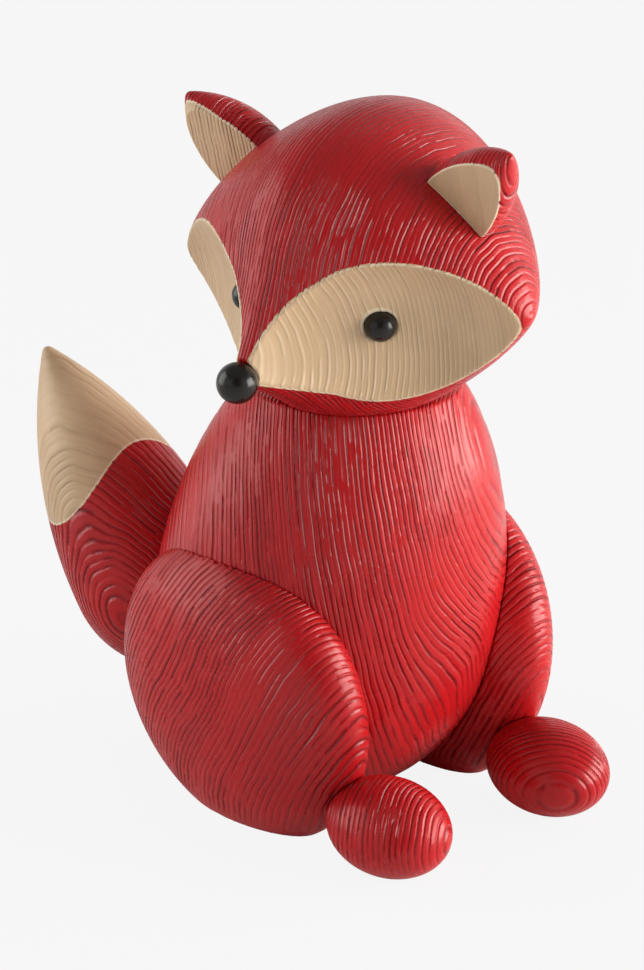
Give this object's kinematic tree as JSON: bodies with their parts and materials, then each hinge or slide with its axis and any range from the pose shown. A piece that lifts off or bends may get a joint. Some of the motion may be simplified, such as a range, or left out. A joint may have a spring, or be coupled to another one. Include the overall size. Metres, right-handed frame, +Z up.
{
  "type": "fox figurine",
  "caption": "Sitting fox ornament in red-stained wood with pale painted cheeks, inner ears and tail tip; its head turns on a neck dowel.",
  "frame": {"origin": "centre of the body's flat base, on the surface the fox sits on", "axes": "+Z up, the body faces -Y and its left side is +X; the head is stored turned to the fox's right, as pictured"},
  "size_m": [0.1027, 0.1534, 0.1741],
  "materials": {
    "red_wood": "semi-gloss",
    "dowel_wood": "matte",
    "black_bead": "gloss"
  },
  "bodies": {
    "seat": {"body": "red_wood", "neck_dowel": "dowel_wood", "right_haunch": "red_wood", "left_haunch": "red_wood", "right_haunch_dowels": "dowel_wood", "left_haunch_dowels": "dowel_wood", "right_foot": "red_wood", "left_foot": "red_wood", "right_foot_dowel": "dowel_wood", "left_foot_dowel": "dowel_wood", "tail": "red_wood", "tail_dowel": "dowel_wood"},
    "turning_head": {"head": "red_wood", "right_ear": "red_wood", "left_ear": "red_wood", "right_ear_dowel": "dowel_wood", "left_ear_dowel": "dowel_wood", "right_eye": "black_bead", "left_eye": "black_bead", "nose": "black_bead"}
  },
  "joints": [
    {"name": "head_turn", "type": "hinge", "parent": "seat", "child": "turning_head", "pos_m": [0, -0.01708, 0.105], "axis": [0, 0, 1], "continuous": true}
  ]
}
